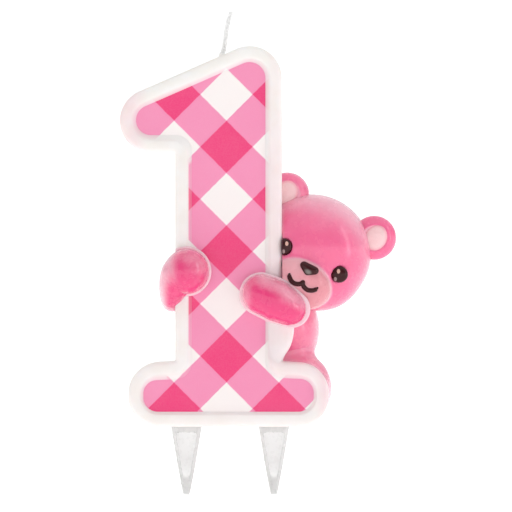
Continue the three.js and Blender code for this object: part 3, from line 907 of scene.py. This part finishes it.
def spike_section(x, z, radius, groove):
    """One section of the spike: round, with a broad groove in its front and its back, 0 none to 1 full."""
    half = max(radius - PICK_WALL, 0.3 * radius)
    if groove > 0 and z > -RECESS_TOP - RECESS_CORNER:
        up = (z + RECESS_TOP + RECESS_CORNER) / RECESS_CORNER
        half -= RECESS_CORNER * (1 - math.sqrt(max(0.0, 1 - up**2)))
    corner = math.acos(half / radius)
    turn = np.linspace(-corner, corner, 15)
    right = np.stack([radius * np.cos(turn), radius * np.sin(turn)], axis=1)
    across = np.linspace(half - 0.05, 0.05 - half, 11)
    floor = (1 - groove) * np.sqrt(radius**2 - across**2) + groove * PICK_WEB / 2
    back = np.stack([across, floor], axis=1)
    return level(np.concatenate([right, back, -right, -back]), x, z)


def spike_rings(x):
    """The spike's sections from its rounded tip up to its collar."""
    rings = []
    for turn in np.linspace(0.1, math.pi / 2, 7):
        z = PICK_TIP_Z + PICK_TIP_RADIUS * (1 - math.cos(turn))
        rings.append(spike_section(x, z, PICK_TIP_RADIUS * math.sin(turn), 0.0))
    groove_full = -RECESS_END + RECESS_RUN_OUT
    for z in np.linspace(-RECESS_END - 0.6, groove_full, 16):
        groove = float(smooth(-RECESS_END, groove_full, z))
        rings.append(spike_section(x, z, pick_radius(z), groove))
    for z in np.linspace(groove_full + 0.4, -RECESS_TOP - RECESS_CORNER, 8):
        rings.append(spike_section(x, z, pick_radius(z), 1.0))
    for up in np.sin(np.linspace(0.2, math.pi / 2, 7)):
        z = -RECESS_TOP - RECESS_CORNER * (1 - up)
        rings.append(spike_section(x, z, pick_radius(z), 1.0))
    rings.append(spike_section(x, -RECESS_TOP + 0.1, pick_radius(-RECESS_TOP), 0.1))
    rings += [spike_section(x, z, pick_radius(z), 0.0) for z in (-RECESS_TOP + 0.2, -0.7, 0.0)]
    for turn in np.linspace(0.2, math.pi / 2, 4):
        z = COLLAR_TOP - COLLAR_EDGE * (1 - math.sin(turn))
        rings.append(spike_section(x, z, PICK_RADIUS - COLLAR_EDGE * (1 - math.cos(turn)), 0.0))
    return rings


def tongue_rings(x):
    """The tongue that plugs into the numeral: a thin bar with rounded edges and a narrower end."""
    rings = []
    for z in (-0.4, 0.5, 3.0, 6.0, 8.4, 9.4, 9.9, TONGUE[2] - 0.05, TONGUE[2]):
        lead = smooth(8.0, TONGUE[2], z)
        blunt = 0.08 * smooth(TONGUE[2] - 0.1, TONGUE[2], z)
        half = TONGUE[:2] / 2 * (1 - np.array([0.3, 0.35]) * lead) - blunt
        edge, turn = 0.2, np.linspace(0, math.pi / 2, 4)
        quarter = half - edge + edge * np.stack([np.cos(turn), np.sin(turn)], axis=1)
        mirrored = quarter[::-1] * (-1, 1)
        rings.append(level(np.concatenate([quarter, mirrored, -quarter, -mirrored]), x, z))
    return rings


def painted_backlight_parts(p, x):
    """Where the spike is painted near white between its two walls: a painted backlight, shining through the
    thin web.
    """
    from_axis = np.hypot(p[:, 0] - x, p[:, 1] - PICK_Y) / pick_radius(p[:, 2])
    return (1 - smooth(0.85, 0.98, from_axis)) * (p[:, 2] < -RECESS_TOP)


def build_picks(plastic):
    for side in ("left", "right"):
        x, body = pick_x(side), f"pick_{side}"
        spike = loft(f"cake_pick_{side}", spike_rings(x))
        tongue = loft(f"cake_pick_tongue_{side}", tongue_rings(x))
        for piece in (spike, tongue):
            piece.data.set_sharp_from_angle(angle=math.radians(40))
            # The thin mask is a painted backlight between the spike's walls.
            paint(piece, "thin", painted_backlight_parts(points_of(piece), x))
        show(spike, plastic, body, body)
        show(tongue, plastic, body=body)


# ---- Bear ----


def skull(q):
    """The head in its own frame: an egg with fuller cheeks."""
    egg = ellipsoid(q, np.zeros(3), HEAD_RADII)
    for side in (-1, 1):
        egg = join(egg, ellipsoid(q, CHEEK * (side, 1, 1), CHEEK_RADII), 2.6)
    return egg


def muzzle_lump(q):
    return ellipsoid(q, MUZZLE, MUZZLE_RADII)


def face_surface(q):
    return join(skull(q), muzzle_lump(q), 0.8)


def front_at(x, z):
    """The face's surface in front of points given in the head's own frame."""
    x, z = np.broadcast_arrays(np.asarray(x, float), np.asarray(z, float))
    near, far = np.full(x.shape, -16.0), np.full(x.shape, 0.0)
    for _ in range(40):
        middle = (near + far) / 2
        outside = face_surface(np.stack([x, middle, z], axis=-1).reshape(-1, 3)).reshape(x.shape) > 0
        near, far = np.where(outside, middle, near), np.where(outside, far, middle)
    return near


def eye_lump(q, side, by=0.0):
    x = EYES_X[side]
    return ellipsoid(q, np.array([x, front_at(x, EYE_Z), EYE_Z]), EYE_RADII + by)


def pale_edge(p):
    """0 where a bear piece meets the numeral, 1 away from it: the colour thins out there."""
    return smooth(0.05, 0.75, numeral_solid(p))


def build_head(pink, muzzle_wax, black, cream_highlight, grey_highlight):
    def head(p):
        q = to_head(p)
        form = face_surface(q)
        for side in EYES_X:
            form = carve(form, eye_lump(q, side, 0.1), 0.2)
        return beside_stem(clear_of_numeral(form, p), p, 0.3)

    piece = skin("bear_head_cast", head, HEAD - 12.4, HEAD + 12.4, 0.3)
    paint(piece, "spray", head_spray(points_of(piece)))
    show(piece, pink, "bear_head")

    def muzzle(p):
        q = to_head(p)
        form = common(muzzle_lump(q) - 0.14, face_surface(q) - 0.17, 0.12)
        form = np.maximum(form, -(muzzle_lump(q) + 1.2))
        return beside_stem(form, p, 0.25)

    low = from_head(MUZZLE) - 7.2
    piece = skin("bear_muzzle_cast", muzzle, low, low + 14.4, 0.2)
    paint(piece, "spray", muzzle_spray(points_of(piece)))
    show(piece, muzzle_wax, "bear_muzzle")

    for side in EYES_X:
        build_eye(side, black, cream_highlight, grey_highlight)
    build_nose(black)
    build_mouth(black)


def head_spray(p):
    """Deep over the face, paler towards the outline and the muzzle's edge; paler towards the crown, partly a
    painted top light, and deeper low on the face, a painted shade.
    """
    q = to_head(p)
    x, y, z = q.T
    away = np.hypot(x / HEAD_RADII[0], (z + 0.8) / HEAD_RADII[2])
    # low marks the lower face: less paling and more colour there, a painted shade; the crown's paling is
    # partly a painted top light.
    low = 1 - smooth(-9.0, 1.0, z)
    front = 0.95 - 0.36 * smooth(0.6, 1.1, away) * (1 - 0.6 * low) - 0.3 * smooth(2.0, 10.5, z)
    front += 0.12 * low
    back = 0.6 - 0.3 * smooth(0.3, 1.0, away)
    spray = front + (back - front) * smooth(-2.0, 4.0, y)
    rim = smooth(0.05, 0.5, muzzle_lump(q))
    return spray * (0.25 + 0.75 * rim) * (0.6 + 0.4 * pale_edge(p))


def muzzle_spray(p):
    """Dusty pink, palest along its raised edge, and deeper towards its right side, a painted shade."""
    q = to_head(p)
    inside = smooth(0.3, 0.8, skull(q))
    # Deeper towards the right: painted shade.
    return inside * (0.35 + 0.4 * smooth(-3.0, 4.0, q[:, 0] - MUZZLE[0]))


def build_eye(side, black, cream_highlight, grey_highlight):
    x = EYES_X[side]
    at = from_head(np.array([x, front_at(x, EYE_Z), EYE_Z]))

    def eye(p):
        return beside_stem(eye_lump(to_head(p), side), p, 0.1)

    piece = skin(f"bear_eye_dome_{side}", eye, at - 1.8, at + 1.8, 0.09)
    show(piece, black, f"bear_eye_{side}")
    shift = 0.75 if side == "left" else 0.0
    # The glints are painted highlights: thin cream and grey patches on the dome where the lights'
    # reflections fall.
    glints = {"high": (-0.22, 0.62, 0.34, 0.46, cream_highlight), "low": (-0.85, -0.95, 0.3, 0.42, grey_highlight)}
    for name, (dx, dz, wide, tall, material) in glints.items():
        spot = at + (dx + shift, 0.0, dz)

        def highlight_patch(p, spot=spot, wide=wide, tall=tall):
            dome = eye_lump(to_head(p), side)
            column = (np.hypot((p[:, 0] - spot[0]) / wide, (p[:, 2] - spot[2]) / tall) - 1) * wide
            form = np.maximum(common(dome - 0.03, column, 0.05), -(dome + 0.1))
            return np.maximum(np.maximum(form, p[:, 1] - at[1]), STEM_HALF + 0.1 - p[:, 0])

        low, high = spot - (0.6, 1.2, 0.6), spot + (0.6, 0.3, 0.6)
        piece = skin(f"bear_eye_glint_{name}_{side}", highlight_patch, low, high, 0.05)
        show(piece, material)


def rounded_triangle(x, z, half, tall, corner):
    """The distance to a triangle with its point down and its corners rounded."""
    ends = [(-half, tall / 2), (half, tall / 2), (0.0, -tall / 2)]
    inside = np.full(x.shape, -np.inf)
    outside = np.full(x.shape, np.inf)
    for (ax, az), (bx, bz) in zip(ends, ends[1:] + ends[:1], strict=True):
        ex, ez = bx - ax, bz - az
        t = np.clip(((x - ax) * ex + (z - az) * ez) / (ex**2 + ez**2), 0, 1)
        outside = np.minimum(outside, np.hypot(x - ax - t * ex, z - az - t * ez))
        inside = np.maximum(inside, ((z - az) * ex - (x - ax) * ez) / math.hypot(ex, ez))
    return np.where(inside < 0, -outside, outside) - corner


def build_nose(black):
    front = float(front_at(NOSE_X, NOSE_Z)) + 0.1
    dome, proud = 1.15, 0.95

    def nose(p):
        q = to_head(p)
        flat = rounded_triangle(q[:, 0] - NOSE_X, q[:, 2] - NOSE_Z, 1.2, 1.0, 0.8)
        along = (q[:, 1] - front) * dome / proud
        return np.hypot(np.maximum(flat + dome, 0), along) - dome

    at = from_head(np.array([NOSE_X, front, NOSE_Z]))
    piece = skin("bear_nose_dome", nose, at - 2.6, at + 2.6, 0.11)
    # A painted highlight on the nose's lower middle, standing in for a reflection.
    q = to_head(points_of(piece))
    away = np.hypot((q[:, 0] - NOSE_X - 0.1) / 0.95, (q[:, 2] - NOSE_Z + 0.35) / 0.6)
    paint(piece, "painted_highlight", 1 - smooth(0.2, 1.1, away))
    show(piece, black, "bear_nose")


def build_mouth(black):
    """Two scoops side by side, one painted line that follows the muzzle and thins at its ends."""
    across = np.linspace(-1, 1, 61)
    x = MOUTH_X + MOUTH_HALF * across
    z = MOUTH_Z - MOUTH_DROP * np.abs(np.sin(math.pi * across)) ** 0.6 - 0.25 * (1 - np.abs(across))
    path = from_head(np.stack([x, front_at(x, z) - 0.08, z], axis=-1))
    radii = 0.48 * np.clip((1 - np.abs(across)) / 0.06, 0.3, 1) ** 0.5

    def line(p):
        best = np.full(len(p), np.inf)
        for a, b, ra, rb in zip(path[:-1], path[1:], radii[:-1], radii[1:], strict=True):
            along = b - a
            t = np.clip((p - a) @ along / (along @ along), 0, 1)
            best = np.minimum(best, from_line(p, a, along, t) - (ra + (rb - ra) * t))
        return beside_stem(best, p, 0.05)

    piece = skin("bear_mouth_line", line, path.min(0) - 0.5, path.max(0) + 0.5, 0.1)
    show(piece, black, "bear_mouth")


def build_ears(pink, cream_wax):
    for name, side in (("left", -1), ("right", 1)):
        centre = EAR * (side, 1, 1)
        middle = centre + EAR_PAD * (side, 1, 1)

        def ear(p, centre=centre, middle=middle):
            q = to_head(p)
            form = ellipsoid(q, centre, EAR_RADII)
            form = carve(form, ellipsoid(q, middle - (0.0, 1.5, 0.0), EAR_HOLLOW_RADII), 0.6)
            form = carve(form, ellipsoid(q, np.zeros(3), HEAD_RADII - 0.9), 0.2)
            return beside_stem(clear_of_numeral(form, p), p, 0.2)

        def pad(p, middle=middle):
            form = ellipsoid(to_head(p), middle, EAR_PAD_RADII)
            return beside_stem(clear_of_numeral(form, p, 0.1), p, 0.1)

        at = from_head(centre)
        piece = skin(f"bear_ear_cast_{name}", ear, at - 4.8, at + 4.8, 0.2)
        q = to_head(points_of(piece)) - centre
        ring = np.hypot(q[:, 0], q[:, 2])
        deep = smooth(2.2, 3.1, ring) * (1 - 0.6 * smooth(3.9, 4.5, ring)) * (1 - smooth(-0.5, 1.5, q[:, 1]))
        paint(piece, "spray", 0.3 + (0.5 if name == "left" else 1.15) * deep)
        show(piece, pink, f"bear_ear_{name}")
        piece = skin(f"bear_ear_pad_cast_{name}", pad, at - 4.2, at + 4.2, 0.14)
        q = to_head(points_of(piece)) - middle
        away = np.hypot(q[:, 0] / EAR_PAD_RADII[0], q[:, 2] / EAR_PAD_RADII[2])
        paint(piece, "spray", 0.8 * smooth(0.6, 1.02, away))
        show(piece, cream_wax, f"bear_ear_pad_{name}")


def torso(p):
    return ellipsoid(p, TORSO, TORSO_RADII)


def build_trunk(pink):
    def trunk(p):
        return clear_of_numeral(flared(torso(p), numeral_solid(p), 0.8), p)

    reach = TORSO_RADII + 1.0
    piece = skin("bear_torso_cast", trunk, TORSO - reach, TORSO + reach, 0.26)
    p = points_of(piece)
    x, _, z = p.T
    # Deeper low down beside the stem, where the torso meets the leg and the numeral: painted shade in that
    # crease.
    painted_crease_shade = (1 - smooth(12.5, 21.0, z)) * (1 - smooth(11.5, 16.5, x))
    spray = 0.7 + 0.35 * painted_crease_shade - 0.35 * smooth(15.8, 18.3, x) - 0.15 * smooth(20, 24, z)
    paint(piece, "spray", spray * (0.75 + 0.25 * pale_edge(p)))
    show(piece, pink, "bear_torso")

    legs = {"left": (LEG_LEFT, LEG_LEFT_RADII), "right": (LEG_RIGHT, LEG_RIGHT_RADII)}
    for side, (centre, radii) in legs.items():

        def leg(p, centre=centre, radii=radii):
            form = flared(ellipsoid(p, centre, radii), torso(p), 2.4)
            spread = flared(form, numeral_solid(p), 1.2) - form
            return clear_of_numeral(form + spread * smooth(2.0, 5.0, p[:, 2]), p)

        piece = skin(f"bear_leg_cast_{side}", leg, centre - radii - 2.4, centre + radii + 2.4, 0.26)
        p = points_of(piece)
        spray = 0.62 - 0.15 * smooth(19.0, 20.7, p[:, 0])
        paint(piece, "spray", spray * (0.5 + 0.5 * pale_edge(p)))
        show(piece, pink, f"bear_leg_{side}")


def paw_base(p, stops, radii, base):
    """The flat base a paw sits on: the paw's outline a little broader, up to a plane over the numeral,
    and a thin lip where it stands out beside the stem."""
    outline = limb(p * (1, 0, 1), np.array(stops) * (1, 0, 1), radii)
    plane = base[0] + base[1] * p[:, 0]
    form = common(outline - ARM_BASE_BROADER, plane - p[:, 1], 0.3)
    lip = plane + 0.7
    behind = lip + (-3.5 - lip) * (1 - smooth(STEM_HALF - 0.3, STEM_HALF + 0.6, np.abs(p[:, 0])))
    return np.maximum(form, p[:, 1] - behind)


def paw_spray(piece, away, lit, outer, depth):
    """Deep pink on the paw itself, none on its base, and less where it turns from the front; paler on its
    left-facing side, a painted side light, and where it faces up and to the right, a painted sheen.
    """
    n = normals_of(piece)
    facing = smooth(-0.2, 0.6, -n[:, 1])
    # Paler on left-facing surfaces: painted side light.
    paler = 1 - outer * smooth(0.2, 0.85, -n[:, 0])
    # Paler facing up and to the right: a painted sheen from the right-hand light.
    sheen = 1 - lit * smooth(0.1, 0.85, n @ np.array([0.62, -0.25, 0.74]))
    return depth * (1 - smooth(0.04, 0.22, away)) * (0.55 + 0.45 * facing) * paler * sheen


def build_arms(deep):
    # Spray settings: painted sheen, painted side light on the left-facing side, and depth of colour.
    arms = {
        "right": (ARM_RIGHT, ARM_RIGHT_RADII, ARM_RIGHT_BASE, 2, (0.45, 0.45, 1.0)),
        "left": (ARM_LEFT, ARM_LEFT_RADII, ARM_LEFT_BASE, 7, (0.3, 0.6, 0.92)),
    }
    for side, (stops, radii, base, wrist, spray) in arms.items():
        count = 4 * len(stops) - 3

        def arm(p, stops=stops, radii=radii, base=base, wrist=wrist, count=count):
            form = paw_base(p, stops[wrist:], radii[wrist:], base)
            if stops is ARM_LEFT:
                form = np.maximum(form, numeral_flat(p) + 0.1)
            form = join(limb(p, stops, radii, count), form, 0.12)
            return clear_of_numeral(form, p)

        piece = skin(f"bear_arm_cast_{side}", arm, *limb_box(stops, radii), 0.19)
        away = limb(points_of(piece), stops, radii, count)
        paint(piece, "spray", paw_spray(piece, away, *spray))
        show(piece, deep, f"bear_arm_{side}")


# ---- Stage, light and camera ----

VIEW_WIDTH = 102.4  # what the picture's width shows at the candle
VIEW_CENTRE = (5.5, 34.2)
CAMERA_AWAY = 900.0


def build_stage():
    """A white floor in the round, lit a little from inside, whose far edge curves up into a low kerb."""
    floor_z, flat_radius, kerb, rise, sides = PICK_TIP_Z, 2200.0, 300.0, 420.0, 96
    profile = [(radius, 0.0) for radius in (60.0, 300.0, 800.0, 1500.0, flat_radius)]
    for t in np.linspace(0.15, math.pi / 2, 9):
        profile.append((flat_radius + kerb * math.sin(t), kerb * (1 - math.cos(t))))
    profile.append((flat_radius + kerb, rise))
    turns = np.linspace(0, 2 * math.pi, sides, endpoint=False)
    points = [(r * math.cos(t), r * math.sin(t), floor_z + up) for r, up in profile for t in turns]
    faces = [list(range(sides))]
    for i in range(len(profile) - 1):
        for j in range(sides):
            k = (j + 1) % sides
            faces.append([i * sides + j, (i + 1) * sides + j, (i + 1) * sides + k, i * sides + k])
    floor = mesh_object("white_floor", points, faces)
    nodes = Nodes("white_paper")
    tone = nodes.mix(nodes.noise(40.0), srgb(252, 252, 252), srgb(255, 255, 255))
    rough = nodes.between(nodes.noise(20.0), 0, 1, 0.8, 0.9)
    nodes.set(Emission_Color=(1.0, 1.0, 1.0, 1.0), Emission_Strength=0.36)
    floor.data.materials.append(nodes.set(Base_Color=tone, Roughness=rough))
    floor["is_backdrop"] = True


def area_light(name, place_mm, size_mm, power, aim_mm=(5.0, 0.0, 35.0)):
    data = bpy.data.lights.new(name, "AREA")
    data.shape = "RECTANGLE"
    data.size, data.size_y = size_mm[0] * MM, size_mm[1] * MM
    data.energy = power
    light = bpy.data.objects.new(name, data)
    light.location = Vector(place_mm) * MM
    light.rotation_euler = (Vector(aim_mm) - Vector(place_mm)).to_track_quat("-Z", "Y").to_euler()
    bpy.context.scene.collection.objects.link(light)


def build_light():
    """A white tent, brightest overhead and a little towards the back, and three soft lights."""
    world = bpy.data.worlds.new("white_tent")
    world.use_nodes = True
    tree = world.node_tree
    towards = tree.nodes.new("ShaderNodeVectorMath")
    towards.operation = "DOT_PRODUCT"
    towards.inputs[1].default_value = (0.0, 0.3, 0.954)
    tree.links.new(tree.nodes.new("ShaderNodeTexCoord").outputs["Generated"], towards.inputs[0])
    strength = tree.nodes.new("ShaderNodeMapRange")
    strength.interpolation_type = "SMOOTHSTEP"
    for i, value in enumerate((0.1, 0.8, 0.29, 1.0), start=1):
        strength.inputs[i].default_value = value
    tree.links.new(towards.outputs["Value"], strength.inputs[0])
    tree.links.new(strength.outputs[0], tree.nodes["Background"].inputs["Strength"])
    tree.nodes["Background"].inputs["Color"].default_value = (1, 1, 1, 1)
    bpy.context.scene.world = world
    area_light("right_strip", (418, -197, 160), (64, 400), 0.2)
    area_light("left_wall", (-560, -330, 200), (520, 520), 0.16)
    area_light("top_box", (30, -330, 400), (360, 260), 0.05)


def build_camera():
    data = bpy.data.cameras.new("camera")
    data.sensor_width = 36.0
    data.lens = data.sensor_width * CAMERA_AWAY / VIEW_WIDTH
    data.clip_end = 10.0
    camera = bpy.data.objects.new("camera", data)
    camera.location = Vector((VIEW_CENTRE[0], CREST_Y - CAMERA_AWAY, VIEW_CENTRE[1])) * MM
    camera.rotation_euler = (math.pi / 2, 0, 0)
    bpy.context.scene.collection.objects.link(camera)
    bpy.context.scene.camera = camera


def main():
    scene = bpy.context.scene
    scene.view_settings.view_transform = "Standard"
    build_camera()
    build_light()
    build_stage()
    ivory = ivory_wax()
    pink = sprayed_wax("pink_wax", srgb(250, 190, 207), srgb(249, 110, 156), (0.2, 0.32))
    muzzle_wax = sprayed_wax("muzzle_wax", srgb(248, 184, 194), srgb(226, 138, 150))
    cream_wax = sprayed_wax("ear_pad_wax", srgb(255, 212, 214), srgb(250, 150, 172))
    deep = sprayed_wax("deep_pink_wax", srgb(248, 208, 218), srgb(237, 62, 128), (0.18, 0.34))
    build_numeral(ivory, gingham_print())
    build_web(ivory)
    build_wick(waxed_cotton(), ivory)
    build_picks(milky_plastic())
    black = black_paint()
    # Cream and grey painted highlights for the eyes.
    cream_highlight = painted_glint("painted_highlight_cream", srgb(214, 164, 150), srgb(232, 190, 176))
    grey_highlight = painted_glint("painted_highlight_grey", srgb(138, 108, 110), srgb(176, 150, 150))
    build_head(pink, muzzle_wax, black, cream_highlight, grey_highlight)
    build_ears(pink, cream_wax)
    build_trunk(pink)
    build_arms(deep)


main()

boxes = {"cad": cad_box, "visual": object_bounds()}
{name: [[float(v) for v in corner] for corner in box] for name, box in boxes.items()}
